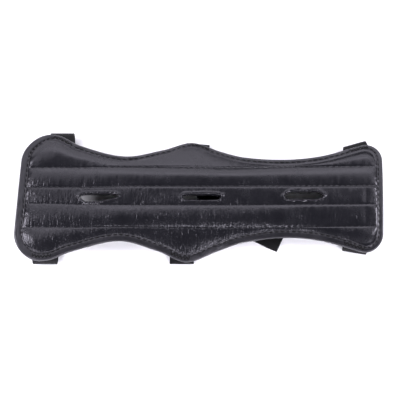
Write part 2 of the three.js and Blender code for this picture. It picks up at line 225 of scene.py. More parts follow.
class ArmGuardSizes(bpy.types.PropertyGroup):
    """Sizes of the guard's soft pieces."""

    crown: size("Crown height", "Lining above the surface along the middle line", 16.5)
    seam_thickness: size("Seam thickness", "Pad at the bottom of a seam", 3.2)
    seam_pull: size("Seam pull", "How far the thread draws a seam into the pad", 0.5)
    seam_reach: size("Seam reach", "Half the width of the valley that the thread draws", 0.6)
    rim_thickness: size("Rim thickness", "Pad under the binding", 1.6)
    rim_width: size("Rim width", "Pressed strip along the pad's edge", 5.2)
    least_rim: size("Least rim", "The strip's share of a straight end, where the corner begins", 2)
    least_channel: size("Least channel", "Least width of an outer channel, at the rounded corners", 1)
    flush: size("Flush height", "Cover over the lining where it meets the binding", 2.5)
    pillow_end: size("Pillow end", "Length over which a channel rises from its end", 7)
    scallop: size("Scallop", "How far the border's stitches wave the channels' ends", 0.18)
    slot_length: size("Slot length", "Vent slot along the guard", 32)
    slot_width: size("Slot width", "Vent slot across the guard", 6)
    lip: size("Slot lip", "Height of the raised edge round a vent slot", 0.7)
    crease: size("Crease depth", "Depth of the creases in the cover", 0.05)
    binding_reach: size("Binding reach", "Binding outside the pad's edge", 1.3)
    binding_flap: size("Binding flap", "Binding's inner edge from the pad's edge", 4.6)
    binding_wall: size("Binding wall", "Thickness of the binding", 0.9)
    stitch_inset: size("Stitch inset", "Border's stitches from the binding's inner edge", 1.1)
    stitch_pitch: size("Stitch pitch", "From one stitch to the next", 4.6)
    stitch_length: size("Stitch length", "Thread that shows between two holes", 3.5)
    thread: size("Thread", "Diameter of the sewing thread", 0.9)
    web_width: size("Webbing width", "Width of straps and tabs", 20)
    web_thickness: size("Webbing thickness", "Thickness of straps and tabs", 1.5)


class ArmGuardColours(bpy.types.PropertyGroup):
    """Colours of the guard's finishes and of the floor."""

    vinyl: colour("Vinyl", "Coated cloth of the pad", "141418")
    lining: colour("Lining", "Knitted cloth under the pad", "0f0f11")
    binding: colour("Binding", "Coated cloth of the bound edge", "101014")
    webbing: colour("Webbing", "Woven straps and tabs", "121214")
    thread: colour("Thread", "Sewing thread", "070708")
    floor: colour("Floor", "Surface that the guard lies on", "f4f4f5")


class ArmGuardStage(bpy.types.PropertyGroup):
    """Camera and lights."""

    elevation: FloatProperty(
        name="Elevation", description="Camera above the horizon", default=math.radians(69),
        subtype="ANGLE",
    )
    distance: size("Distance", "Camera from the point that it looks at", 1000)
    lens: FloatProperty(name="Lens", description="Focal length in millimetres", default=108.88, min=1)
    back_light: strength("Back light", "Brightness of the panel behind", 1.55)
    back_low_light: strength("Low back light", "Brightness of that panel's lower part", 2.2)
    top_light: strength("Top lights", "Brightness of the two panels above", 1.55)
    side_light: strength("Side lights", "Brightness of the side lights", 15)
    front_light: strength("Front lights", "Brightness of the front lights", 13)
    low_light: strength("Low light", "Brightness of the low light, left", 120)
    rim_light: strength("Rim light", "Brightness of the low light, front", 2.5)
    room_light: strength("Room light", "Strength of the light all round", 0.06)


def section(column, x):
    """A column of SECTIONS at x: a cubic through the rows, each row's slope taken from its neighbours."""
    places = SECTIONS[:, 0]
    values = SECTIONS[:, SECTION_COLUMNS.index(column)]
    before = np.maximum(np.arange(len(places)) - 1, 0)
    after = np.minimum(np.arange(len(places)) + 1, len(places) - 1)
    slopes = (values[after] - values[before]) / (places[after] - places[before])
    row = np.clip(np.searchsorted(places, x, side="right") - 1, 0, len(places) - 2)
    span = places[row + 1] - places[row]
    t = np.clip((x - places[row]) / span, 0, 1)
    eased = values[row] + (values[row + 1] - values[row]) * t * t * (3 - 2 * t)
    return eased + span * (t * (1 - t) ** 2 * slopes[row] + t * t * (t - 1) * slopes[row + 1])


def arch_radius(x):
    """Radius of the arch at x: the arc that drops by the section's drop over half its width."""
    return section("half", x) ** 2 / (2 * section("drop", x))


def on_arch(sizes, x, across, height):
    """Points in the row's frame, at a height over the lining and a distance along the arch from the
    middle line."""
    radius = arch_radius(x)
    angle = across / radius
    return np.stack(np.broadcast_arrays(
        MIDDLE_LINE[0] + x + SKEW * across,
        MIDDLE_LINE[1] + section("middle", x) + (radius + height) * np.sin(angle),
        sizes.crown - radius + (radius + height) * np.cos(angle),
    ), axis=-1)


def from_end(x):
    """Distance from the nearer end of the outline."""
    return np.minimum(x - ELBOW_END, WRIST_END - x)


def side_slope(x):
    """How fast half the width along the arch changes at x."""
    return (section("half", x + MM) - section("half", x - MM)) / (2 * MM)


def corner_radius(x):
    """Radius of the outline's corners at the end that x is nearer to."""
    return np.where(x < 0, CORNERS["elbow"], CORNERS["wrist"])


def outline_half(x, inset):
    """Half the width at x, along the arch, of the outline moved in by an inset and rounded at its
    corners."""
    corner = corner_radius(x) - inset
    into_corner = np.clip(corner + inset - from_end(x), 0, corner)
    rounded_off = corner - np.sqrt(corner ** 2 - into_corner ** 2)
    return section("half", x) - inset * np.hypot(1, side_slope(x)) - rounded_off


def pad_half(sizes, x):
    """Half the width of the pad at x."""
    return outline_half(x, sizes.binding_reach)


def padded_half(sizes, x):
    """Half the width of the padded part at x, inside the pressed rim."""
    inner = outline_half(x, sizes.binding_reach + sizes.rim_width)
    return np.minimum(inner, pad_half(sizes, x) - sizes.least_rim)


def inset_from_edge(sizes, x, across):
    """Distance of a place from the pad's edge: from the nearer side or end, or from the arc at a rounded
    corner."""
    corner = corner_radius(x)
    to_side = (section("half", x) - np.abs(across)) / np.hypot(1, side_slope(x))
    to_end = from_end(x)
    into = np.hypot(np.maximum(corner - to_end, 0), np.maximum(corner - to_side, 0))
    at_corner = (to_end < corner) & (to_side < corner)
    return np.where(at_corner, corner - into, np.minimum(to_side, to_end)) - sizes.binding_reach


def flap_width(sizes, x, across):
    """Binding's inner edge from the pad's edge: wide along the front and round the elbow end, narrow along
    the back and round the wrist end."""
    along_side = FLAP["front"] + (FLAP["back"] - FLAP["front"]) * smooth(-FLAP_TURN, FLAP_TURN, across)
    along_end = np.where(x < 0, FLAP["elbow"], FLAP["wrist"])
    round_end = 1 - smooth(FLAP_FROM, FLAP_TO, from_end(x))
    return sizes.binding_flap * (along_side + (along_end - along_side) * round_end)


def end_rise(sizes, x, across):
    """Share of its height that a channel has near an end: a quarter of an ellipse from the binding's inner
    edge, twice as long at the front corners."""
    scallop = sizes.scallop * np.cos(2 * np.pi * across / sizes.stitch_pitch)
    inside = from_end(x) - sizes.binding_reach - flap_width(sizes, x, across) - scallop
    length = sizes.pillow_end * (1 + smooth(SLOW_FROM, SLOW_TO, across))
    return np.sqrt(1 - (1 - np.clip(inside / length, 0, 1)) ** 2)


def channel_lines(sizes, x):
    """Lines across the padded part at x: its front edge, the four seams and its back edge."""
    drifted = smooth(DRIFT_FROM, DRIFT_TO, np.abs(x))
    edge = padded_half(sizes, x)
    widest = edge - sizes.least_channel
    seams = [
        np.clip(place + np.where(x < 0, elbow, wrist) * drifted, -widest, widest)
        for place, elbow, wrist in SEAMS
    ]
    return [-edge, *seams, edge]


def waves(rng, x, y, count, lengths, spread):
    """Sum of straight waves, each with a random length, phase and direction within a spread of the X axis.
    Its values are mostly within 1 of nothing."""
    total = np.zeros(np.broadcast(x, y).shape)
    for _ in range(count):
        length = rng.uniform(*lengths)
        turn = rng.uniform(-spread, spread)
        start = rng.uniform(0, 2 * np.pi)
        total += np.sin(2 * np.pi / length * (x * np.cos(turn) + y * np.sin(turn)) + start)
    return total / np.sqrt(2 * count)


def smooth(low, high, value):
    """Smooth step from 0 at low to 1 at high."""
    t = np.clip((value - low) / (high - low), 0, 1)
    return t * t * (3 - 2 * t)


def grid_faces(grid):
    """Quads of a grid of vertex numbers. They face up where rows run along +X and columns along +Y."""
    corners = (grid[:-1, :-1], grid[1:, :-1], grid[1:, 1:], grid[:-1, 1:])
    return np.stack(corners, axis=-1).reshape(-1, 4)


def strip_faces(upper, lower):
    """Quads between two lists of vertex numbers. They face left of the way along the upper list, seen
    from above."""
    return np.stack((upper[:-1], upper[1:], lower[1:], lower[:-1]), axis=-1)


def make_piece(name, points, quads, materials, material_rows=None, uv=None):
    """Mesh object of quads, smooth, at the origin. Vertices that no face uses are left out.
    uv has a pair of numbers for each vertex."""
    used, corners = np.unique(quads.ravel(), return_inverse=True)
    points = points.reshape(-1, 3)[used]
    mesh = bpy.data.meshes.new(name)
    mesh.vertices.add(len(points))
    mesh.vertices.foreach_set("co", points.astype(np.float32).ravel())
    mesh.loops.add(len(corners))
    mesh.loops.foreach_set("vertex_index", corners.astype(np.int32).ravel())
    mesh.polygons.add(len(quads))
    mesh.polygons.foreach_set("loop_start", np.arange(0, 4 * len(quads), 4, dtype=np.int32))
    mesh.polygons.foreach_set("use_smooth", np.ones(len(quads), dtype=bool))
    if material_rows is not None:
        mesh.polygons.foreach_set("material_index", material_rows.astype(np.int32))
    if uv is not None:
        layer = mesh.uv_layers.new(name="UVMap")
        layer.data.foreach_set("uv", uv.reshape(-1, 2)[used][corners.ravel()].astype(np.float32).ravel())
    for material in materials:
        mesh.materials.append(material)
    mesh.update(calc_edges=True)
    if mesh.validate():
        raise RuntimeError(f"{name} had faces that are not valid")
    piece = bpy.data.objects.new(name, mesh)
    bpy.context.scene.collection.objects.link(piece)
    return piece


def sweep(sections, ring):
    """Vertices and quads of a closed tube through sections, an array of sections by corners by 3. Each
    section runs anticlockwise seen from the way ahead. An open tube is closed by quads across its ends."""
    count, corners = sections.shape[:2]
    numbers = np.arange(count * corners).reshape(count, corners)
    rows = np.vstack((numbers, numbers[:1])) if ring else numbers
    quads = grid_faces(np.hstack((rows, rows[:, :1])))[:, ::-1]
    if not ring:
        half = corners // 2
        for end, step in ((numbers[0], 1), (numbers[-1], -1)):
            cap = strip_faces(end[:half], end[:half - 1:-1])
            quads = np.vstack((quads, cap[:, ::step]))
    return sections.reshape(-1, 3), quads


def add_node(tree, kind, inputs=None, **settings):
    """Adds a node. settings are its own properties, and inputs its sockets' values or the outputs that
    feed them."""
    made = tree.nodes.new(kind)
    for name, value in settings.items():
        setattr(made, name, value)
    for name, value in (inputs or {}).items():
        if isinstance(value, bpy.types.NodeSocket):
            tree.links.new(value, made.inputs[name])
        else:
            made.inputs[name].default_value = value
    return made


def math_node(tree, operation, *values):
    """Output of a math node."""
    return add_node(tree, "ShaderNodeMath", dict(enumerate(values)), operation=operation).outputs[0]


def mapped(tree, value, low, high, to_low, to_high, kind="LINEAR"):
    """Output of a value mapped from one range to another."""
    inputs = {"Value": value, "From Min": low, "From Max": high, "To Min": to_low, "To Max": to_high}
    return add_node(tree, "ShaderNodeMapRange", inputs, interpolation_type=kind).outputs[0]


def stretched(tree, place, lengths, turn=0.0):
    """Output of places turned about Z and counted in a length along each axis."""
    scale = tuple(1 / length for length in lengths)
    inputs = {"Vector": place, "Rotation": (0.0, 0.0, turn), "Scale": scale}
    return add_node(tree, "ShaderNodeMapping", inputs).outputs["Vector"]


def noise(tree, place, size, detail, roughness=0.5, distortion=0.0):
    """Outputs of a noise whose forms have about a size."""
    inputs = {
        "Vector": place, "Scale": 1 / size, "Detail": detail, "Roughness": roughness,
        "Distortion": distortion,
    }
    return add_node(tree, "ShaderNodeTexNoise", inputs).outputs


def two_tone(tree, share, base, dark, light):
    """Output of a colour between a darker and a lighter tone of base."""
    tones = {"A": (*[c * dark for c in base], 1), "B": (*[c * light for c in base], 1)}
    return add_node(tree, "ShaderNodeMix", {"Factor": share, **tones}, data_type="RGBA").outputs["Result"]


def bumped(tree, height, distance, normal=None):
    """Output of a normal bent by a height, over another normal if there is one."""
    inputs = {"Height": height, "Strength": 1.0, "Distance": distance}
    if normal is not None:
        inputs["Normal"] = normal
    return add_node(tree, "ShaderNodeBump", inputs).outputs["Normal"]


def new_material(name):
    """Empty node material, and its tree."""
    material = bpy.data.materials.new(name)
    material.use_nodes = True
    material.node_tree.nodes.clear()
    return material, material.node_tree


def add_surface(material, inputs):
    """Gives a material its surface shader with these inputs, and its output."""
    shader = add_node(material.node_tree, "ShaderNodeBsdfPrincipled", inputs)
    add_node(material.node_tree, "ShaderNodeOutputMaterial", {"Surface": shader.outputs["BSDF"]})
    return material


def coated_cloth(name, base, rough, gloss, crease_height, grain_height):
    """Vinyl-coated cloth, calendered: a smooth glossy skin over a knit. Light gives it soft broad
    reflections, and where it has been flexed across its length it has fine broken crease lines, with a
    pebble grain between."""
    material, tree = new_material(name)
    place = add_node(tree, "ShaderNodeTexCoord").outputs["Object"]
    apart = add_node(tree, "ShaderNodeSeparateXYZ", {"Vector": place}).outputs

    # Fine gathers about 2 mm apart and 7 mm long that run across the guard, as where the thread has drawn
    # the cloth up
    ruffled = stretched(tree, place, (1.2 * MM, 6 * MM, 6 * MM), turn=0.12)
    ruffles = noise(tree, ruffled, size=1.0, detail=0.0, distortion=0.6)
    gathers = mapped(tree, ruffles["Fac"], 0.25, 0.75, -1.3, 1.3)
    # Between them long broken lines, where a noise stretched across the guard crosses its middle value
    folded = stretched(tree, place, (3.6 * MM, 9 * MM, 9 * MM))
    folds = noise(tree, folded, size=1.0, detail=1.0, roughness=0.4, distortion=0.4)
    from_middle = math_node(tree, "ABSOLUTE", math_node(tree, "SUBTRACT", folds["Fac"], 0.5))
    long_lines = mapped(tree, from_middle, 0.0, 0.06, -1.0, 0.0, "SMOOTHSTEP")
    # And a crackle of cells about 2 mm by 3 mm
    stray = noise(tree, place, size=4 * MM, detail=1.0)
    strayed = add_node(
        tree, "ShaderNodeVectorMath", {0: stray["Color"], 1: (2 * MM, 2 * MM, 2 * MM), 2: place},
        operation="MULTIPLY_ADD",
    )
    cells = stretched(tree, strayed.outputs[0], (2.1 * MM, 3.4 * MM, 3.4 * MM))
    to_edge = add_node(
        tree, "ShaderNodeTexVoronoi", {"Vector": cells, "Scale": 1.0}, feature="DISTANCE_TO_EDGE",
    )
    crackle = mapped(tree, to_edge.outputs["Distance"], 0.0, 0.16, -1.0, 0.0, "SMOOTHSTEP")
    shallow = math_node(tree, "MULTIPLY_ADD", long_lines, 0.3, gathers)
    lines = math_node(tree, "MULTIPLY_ADD", crackle, 0.8, shallow)
    # Creased patches about 18 mm across, most of them on the front half and few by the wrist
    patches = noise(tree, place, size=18 * MM, detail=2.0)
    front = mapped(tree, apart["Y"], 12 * MM, -20 * MM, -0.14, 0.1)
    wrist = mapped(tree, apart["X"], 30 * MM, 80 * MM, 0.0, -0.22)
    patch = math_node(tree, "ADD", patches["Fac"], math_node(tree, "ADD", front, wrist))
    where = mapped(tree, patch, 0.3, 0.6, 0.06, 0.75, "SMOOTHSTEP")
    creased = bumped(tree, math_node(tree, "MULTIPLY", lines, where), crease_height)
    # Pebble grain about 1 mm across
    pebbles = add_node(
        tree, "ShaderNodeTexVoronoi", {"Vector": place, "Scale": 1 / (1.1 * MM), "Randomness": 1.0},
        feature="SMOOTH_F1",
    )
    # Handling dulls the gloss in patches about 12 mm across
    handling = noise(tree, place, size=12 * MM, detail=4.0, roughness=0.6)["Fac"]
    return add_surface(material, {
        "Base Color": two_tone(tree, handling, base, 0.85, 1.15),
        "Roughness": mapped(tree, handling, 0.3, 0.7, rough - 0.05, rough + 0.06),
        "Specular IOR Level": gloss,
        "Specular Tint": (0.95, 0.93, 1.0, 1.0),
        "Normal": bumped(tree, pebbles.outputs["Distance"], grain_height, creased),
    })


def woven_cloth(name, base, thread_pitch, relief, rough, gloss, sheen):
    """Textured polyester, woven or knitted: a matte face of small raised threads in rows, with a faint
    soft sheen. The rows are drawn coarser than real thread where they would not show."""
    material, tree = new_material(name)
    along = add_node(tree, "ShaderNodeUVMap", uv_map="UVMap").outputs["UV"]
    apart = add_node(tree, "ShaderNodeSeparateXYZ", {"Vector": along}).outputs
    turns = 2 * math.pi / thread_pitch
    ribs = [math_node(tree, "SINE", math_node(tree, "MULTIPLY", apart[axis], turns)) for axis in "XY"]
    weave = math_node(tree, "MULTIPLY", *ribs)
    # Painted shade and light: the colour follows the weave's height, darker in its hollows and lighter on
    # its raised threads
    tone = mapped(tree, weave, -1.0, 1.0, 0.0, 1.0)
    return add_surface(material, {
        "Base Color": two_tone(tree, tone, base, 0.6, 1.25),
        "Roughness": rough,
        "Specular IOR Level": gloss,
        "Sheen Weight": sheen,
        "Sheen Roughness": 0.5,
        "Normal": bumped(tree, weave, relief),
    })


def floor_paper(base):
    """Matte white card: an even pale surface with a trace of mottle."""
    material, tree = new_material("white_card")
    place = add_node(tree, "ShaderNodeTexCoord").outputs["Object"]
    mottle = noise(tree, place, size=50 * MM, detail=3.0)["Fac"]
    paper = two_tone(tree, mottle, base, 0.98, 1.0)
    return add_surface(material, {"Base Color": paper, "Roughness": 0.9, "IOR": 1.45})


def slot_lips(sizes, x, slots=SLOTS):
    """Openings of vent slots at x, from the middle line to the back lip and to the front lip: the widest
    opening times (1 - u to a power) to a power, where u is 0 at the widest place and 1 at both ends, and
    nothing outside."""
    openings = []
    for side in (1, 2):
        opening = np.zeros_like(x)
        for slot in slots:
            widest, place, power, roundness = slot[side]
            t = np.clip((x - slot[0]) / (sizes.slot_length / 2), -1, 1)
            u = np.where(t < place, (t - place) / (-1 - place), (t - place) / (1 - place))
            opening = np.maximum(opening, widest * (1 - u ** power) ** roundness)
        openings.append(opening)
    return openings


def corner_stations(sizes, end, count):
    """Places along a rounded corner, from the pad's end to where the corner's arc ends."""
    corner, inward = (CORNERS["elbow"], 1) if end < 0 else (CORNERS["wrist"], -1)
    turn = np.linspace(0, np.pi / 2, count)
    return end + inward * (sizes.binding_reach + (corner - sizes.binding_reach) * (1 - np.cos(turn)))


def pad_stations(sizes):
    """Places along the pad: close together round the corners, on the pillow ends and round the ends of
    slots."""
    body_from = ELBOW_END + CORNERS["elbow"] + GRID_ROW
    body_to = WRIST_END - CORNERS["wrist"] - GRID_ROW / 2
    parts = [corner_stations(sizes, end, CORNER_ROWS) for end in (ELBOW_END, WRIST_END)]
    parts.append(np.arange(body_from, body_to, GRID_ROW))
    slots = np.array([slot[0] for slot in SLOTS])
    half_length, half_width = sizes.slot_length / 2, sizes.slot_width / 2
    tip = half_length - half_width + half_width * np.sin(np.linspace(0, np.pi / 2, SLOT_ROWS))
    for middle in slots:
        parts += [middle + tip, middle - tip]
    places = np.unique(np.round(np.concatenate(parts), 7))
    slot_ends = np.round(np.concatenate((slots - half_length, slots + half_length)), 7)
    crowded = np.concatenate(([False], np.diff(places) < CROWDED))
    at_slot_end = np.abs(places[:, None] - slot_ends).min(axis=1) < 1e-9
    near_end = from_end(places) < sizes.binding_reach + END_KEPT
    return places[~crowded | at_slot_end | near_end]


def quilted_height(sizes, x, across):
    """Height of the cover over the lining, general form: on each channel a half wave of a sine across it,
    or where it leans a ramp t(1 - t^n) of the same height."""
    lines = channel_lines(sizes, x)
    last = len(lines) - 2
    to_end = smooth(PUFF_FROM, PUFF_TO, np.abs(x))
    leaning = (LEAN_POWER + 1) ** (1 + 1 / LEAN_POWER) / LEAN_POWER
    padded = np.full(across.shape, sizes.flush)
    for channel, (low, high) in enumerate(zip(lines[:-1], lines[1:])):
        t = np.clip((across - low) / (high - low), 0, 1)
        near = sizes.flush if channel == 0 else sizes.seam_thickness
        far = sizes.flush if channel == last else sizes.seam_thickness
        puff, lean = (
            middle + (np.where(x < 0, elbow, wrist) - middle) * to_end
            for middle, elbow, wrist in (PUFFS[channel][:3], PUFFS[channel][3:])
        )
        profile = (1 - lean) * np.sin(np.pi * t) + lean * leaning * t * (1 - t ** LEAN_POWER)
        bulge = near + (far - near) * t + puff * (high - low) * profile
        padded = np.where((across >= low) & (across <= high), bulge, padded)
    return padded


def channel_share(sizes, x, across):
    """Channels and parts of a channel between the padded part's front edge and a place."""
    lines = channel_lines(sizes, x)
    return sum(np.clip((across - low) / (high - low), 0, 1) for low, high in zip(lines[:-1], lines[1:]))


def cubic_taps(place, count):
    """The four grid lines round each place on a row of count lines, and their weights on a Catmull-Rom
    cubic."""
    place = np.clip(place, 0, count - 1)
    line = np.minimum(place.astype(int), count - 2)
    t = place - line
    weights = (
        (-t + 2 * t ** 2 - t ** 3) / 2,
        (2 - 5 * t ** 2 + 3 * t ** 3) / 2,
        (t + 4 * t ** 2 - 3 * t ** 3) / 2,
        (t ** 3 - t ** 2) / 2,
    )
    return [(np.clip(line + step - 1, 0, count - 1), weight) for step, weight in enumerate(weights)]


def settle_cloth(sheet, pinned):
    """Runs Blender's cloth solver on a sheet with some vertices pinned, and returns where its vertices
    settle. Pressure stands for the foam, and nothing weighs on the sheet."""
    scene = bpy.context.scene
    pins = sheet.vertex_groups.new(name="pins")
    pins.add(np.flatnonzero(pinned).tolist(), 1.0, "REPLACE")
    cloth = sheet.modifiers.new("cloth", "CLOTH")
    cloth.point_cache.frame_end = CLOTH_FRAMES
    cloth.collision_settings.use_collision = False
    cloth.collision_settings.use_self_collision = False
    for name, value in CLOTH_FEEL.items():
        setattr(cloth.settings, name, value)
    cloth.settings.vertex_group_mass = pins.name
    cloth.settings.effector_weights.gravity = 0.0
    first = scene.frame_current
    for frame_number in range(1, CLOTH_FRAMES + 1):
        scene.frame_set(frame_number)
    evaluated = sheet.evaluated_get(bpy.context.evaluated_depsgraph_get())
    settled = np.empty(3 * len(evaluated.data.vertices))
    evaluated.data.vertices.foreach_get("co", settled)
    scene.frame_set(first)
    mesh = sheet.data
    bpy.data.objects.remove(sheet)
    bpy.data.meshes.remove(mesh)
    return settled.reshape(-1, 3)


def cover_puckers(sizes, x, across):
    """Puckers of the cover at places on it: a sheet in the cover's general form, pinned along the seams,
    the edges and the slots, settles by cloth simulation, and what it then has beyond its average along
    the guard is kept, up to a cap."""
    margin = sizes.binding_reach + sizes.rim_width + sizes.pillow_end
    rows = np.arange(ELBOW_END + margin, WRIST_END - margin, CLOTH_ROW)
    share = np.arange(len(PUFFS) * CLOTH_COLUMNS + 1) / CLOTH_COLUMNS
    channel = np.minimum(share.astype(int), len(PUFFS) - 1)
    lines = np.stack(channel_lines(sizes, rows), axis=-1)
    low, high = lines[:, channel], lines[:, channel + 1]
    sheet_across = low + (high - low) * (share - channel)
    sheet_x = np.broadcast_to(rows[:, None], sheet_across.shape)
    rng = np.random.default_rng(SEED + 2)
    ripples = waves(rng, sheet_x, sheet_across, count=16, lengths=(5 * MM, 14 * MM), spread=0.6)
    uneven = CLOTH_UNEVEN * ripples
    start = on_arch(sizes, sheet_x, sheet_across, quilted_height(sizes, sheet_x, sheet_across) + uneven)
    back_lip, front_lip = slot_lips(sizes, sheet_x)
    beside = (sheet_across < back_lip + MM) & (sheet_across > -front_lip - MM)
    open_here = (back_lip + front_lip > 0) & beside
    pinned = (share == np.round(share))[None, :] | open_here
    pinned[[0, -1]] = True
    numbers = np.arange(start.shape[0] * start.shape[1]).reshape(start.shape[:2])
    sheet = make_piece("cover_sheet", start * CLOTH_SCALE, grid_faces(numbers), ())
    settled = settle_cloth(sheet, pinned.ravel()).reshape(start.shape) / CLOTH_SCALE
    up = surface_up(sizes, sheet_x.ravel(), sheet_across.ravel()).reshape(start.shape)
    gained = ((settled - start) * up).sum(axis=-1) + uneven
    padded_rows = np.pad(gained, ((CLOTH_AVERAGE // 2, CLOTH_AVERAGE // 2), (0, 0)), mode="edge")
    running = np.cumsum(np.vstack((np.zeros((1, gained.shape[1])), padded_rows)), axis=0)
    average = (running[CLOTH_AVERAGE:] - running[:-CLOTH_AVERAGE]) / CLOTH_AVERAGE
    puckers = CLOTH_CAP * np.tanh((gained - average) / CLOTH_CAP)
    along_taps = cubic_taps((x - rows[0]) / CLOTH_ROW, len(rows))
    across_taps = cubic_taps(channel_share(sizes, x, across) * CLOTH_COLUMNS, len(share))
    return sum(
        puckers[row, column] * row_weight * column_weight
        for row, row_weight in along_taps for column, column_weight in across_taps
    )


def pad_height(sizes, x, across, rng):
    """Height of the cover over the lining: the quilted form with its puckers, drawn down along the seams
    by the thread, rising from the binding at the channels' ends along a quarter of an ellipse, with lips
    round the slots, and creases along the lines where a sum of waves passes through nothing."""
    lines = channel_lines(sizes, x)
    padded = quilted_height(sizes, x, across) + cover_puckers(sizes, x, across)

    # The thread draws the seams in, a little more at each hole
    nearest = np.min([np.abs(across - seam) for seam in lines[1:-1]], axis=0)
    hole = 0.75 + 0.25 * np.cos(2 * np.pi * x / sizes.stitch_pitch)
    padded = padded - sizes.seam_pull * hole * np.exp(-(nearest / sizes.seam_reach) ** 2)
    # Puckers stand out from the seams
    gathers = waves(rng, x, across, count=14, lengths=(4 * MM, 9 * MM), spread=0.4)
    padded = padded + GATHER_HEIGHT * gathers * np.exp(-nearest / GATHER_REACH)

    # Lips round the slots
    for slot in SLOTS:
        back_lip, front_lip = slot_lips(sizes, x, (slot,))
        along = np.maximum(np.abs(x - slot[0]) - sizes.slot_length / 2, 0)
        beside = np.maximum(np.where(across > 0, across - back_lip, -across - front_lip), 0)
        from_lip = np.hypot(along, beside)
        lip = np.exp(-((from_lip - LIP_PLACE) / LIP_HALF) ** 2)
        turned = np.exp(-from_lip / TURN_REACH)
        puckers = waves(rng, x, across, count=10, lengths=(2.5 * MM, 5 * MM), spread=1.6)
        padded = padded + (sizes.lip * (1 + 0.5 * puckers)) * lip - TURN_DEPTH * turned

    # Creases, most of them on the front half
    folds = waves(rng, x, across, count=18, lengths=(6 * MM, 13 * MM), spread=0.45)
    patches = waves(rng, x, across, count=10, lengths=(25 * MM, 60 * MM), spread=np.pi)
    where = smooth(-0.2, 0.6, patches + 0.5 * smooth(10 * MM, -20 * MM, across) - 0.4)
    on_channel = smooth(0.5 * MM, 3 * MM, nearest)
    padded = padded - sizes.crease * where * on_channel * np.exp(-(folds / 0.22) ** 2)

    # The ends rise from the binding, and the rim goes in under it
    risen = sizes.flush + (padded - sizes.flush) * end_rise(sizes, x, across)
    past_flap = inset_from_edge(sizes, x, across) - flap_width(sizes, x, across)
    shown = smooth(-0.6 * MM, 0.1 * MM, past_flap)
    return sizes.rim_thickness + (risen - sizes.rim_thickness) * shown


def pad_grid(sizes):
    """Places of the cover's grid: stations along the guard, columns of the back half and of the front half
    from a slot's lip or the middle line out to the edge, as distances along the arch, and at which
    stations a slot is open."""
    x = pad_stations(sizes)
    lines = channel_lines(sizes, x)
    steps = [np.linspace(0, 1, count + 1)[1:] for count in CHANNEL_COLUMNS]
    steps.append(np.array(RIM_COLUMNS))
    back_lip, front_lip = slot_lips(sizes, x)
    halves = []
    for side, lip, seams in ((1, back_lip, lines[3:5]), (-1, front_lip, (-lines[2], -lines[1]))):
        ways = [lip, *seams, lines[5], pad_half(sizes, x)]
        columns = [lip[:, None]]
        for low, high, step in zip(ways[:-1], ways[1:], steps):
            columns.append(low[:, None] + (high - low)[:, None] * step)
        halves.append(side * np.hstack(columns))
    return x, *halves, (back_lip + front_lip) > 0


def make_pad(sizes, materials):
    """The pad: a cover and a lining as two grids over the same places, joined by a wall round the rim and
    by walls in the slots. The two halves of a grid share the middle line, and part where a slot is."""
    rng = np.random.default_rng(SEED)
    x, back, front, open_here = pad_grid(sizes)
    across = np.hstack((front[:, ::-1], back))
    along = np.broadcast_to(x[:, None], across.shape)
    cover = on_arch(sizes, along, across, pad_height(sizes, along, across, rng))
    lining = on_arch(sizes, along, across, np.zeros_like(across))

    rows, columns = across.shape
    centre = columns // 2
    top = np.arange(rows * columns).reshape(rows, columns)
    top[~open_here, centre - 1] = top[~open_here, centre]
    low = top + rows * columns
    cover_faces = np.vstack((grid_faces(top[:, :centre]), grid_faces(top[:, centre:])))
    lining_faces = np.vstack((grid_faces(low[:, :centre]), grid_faces(low[:, centre:])))[:, ::-1]
    end_columns = np.delete(np.arange(columns), centre - 1)
    walls = [
        strip_faces(top[:, -1], low[:, -1]),
        strip_faces(top[:, 0], low[:, 0])[:, ::-1],
        strip_faces(top[0, end_columns], low[0, end_columns]),
        strip_faces(top[-1, end_columns], low[-1, end_columns])[:, ::-1],
    ]
    beside = open_here[:-1] | open_here[1:]
    walls.append(strip_faces(top[:, centre], low[:, centre])[beside][:, ::-1])
    walls.append(strip_faces(top[:, centre - 1], low[:, centre - 1])[beside])
    quads = np.vstack((cover_faces, lining_faces, *walls))
    finish = np.zeros(len(quads))
    finish[len(cover_faces):len(cover_faces) + len(lining_faces)] = 1
    places = np.stack((along, across), axis=-1)
    return make_piece(
        "pad_cover", np.stack((cover, lining)), quads, materials, finish, np.stack((places, places)),
    )


def edge_path(sizes, spacing):
    """Points of the pad's edge at an even spacing, as (x, across) pairs anticlockwise seen from above, with
    the inward direction at each and the distance along the edge."""
    elbow, wrist = (corner_stations(sizes, end, TRACED_CORNER) for end in (ELBOW_END, WRIST_END))
    body = np.linspace(elbow[-1], wrist[-1], TRACED_SIDE)[1:-1]
    x = np.concatenate((elbow, body, wrist[::-1]))
    half = pad_half(sizes, x)
    corners = np.vstack((np.column_stack((x, -half)), np.column_stack((x, half))[::-1]))
    closed = np.vstack((corners, corners[:1]))
    walked = np.concatenate(([0], np.cumsum(np.hypot(*np.diff(closed, axis=0).T))))
    count = int(round(walked[-1] / spacing))
    at = np.arange(count) * walked[-1] / count
    points = np.column_stack([np.interp(at, walked, closed[:, axis]) for axis in (0, 1)])
    ahead = np.roll(points, -2, axis=0) - np.roll(points, 2, axis=0)
    ahead /= np.hypot(*ahead.T)[:, None]
    inward = np.column_stack((-ahead[:, 1], ahead[:, 0]))
    return points, inward, at


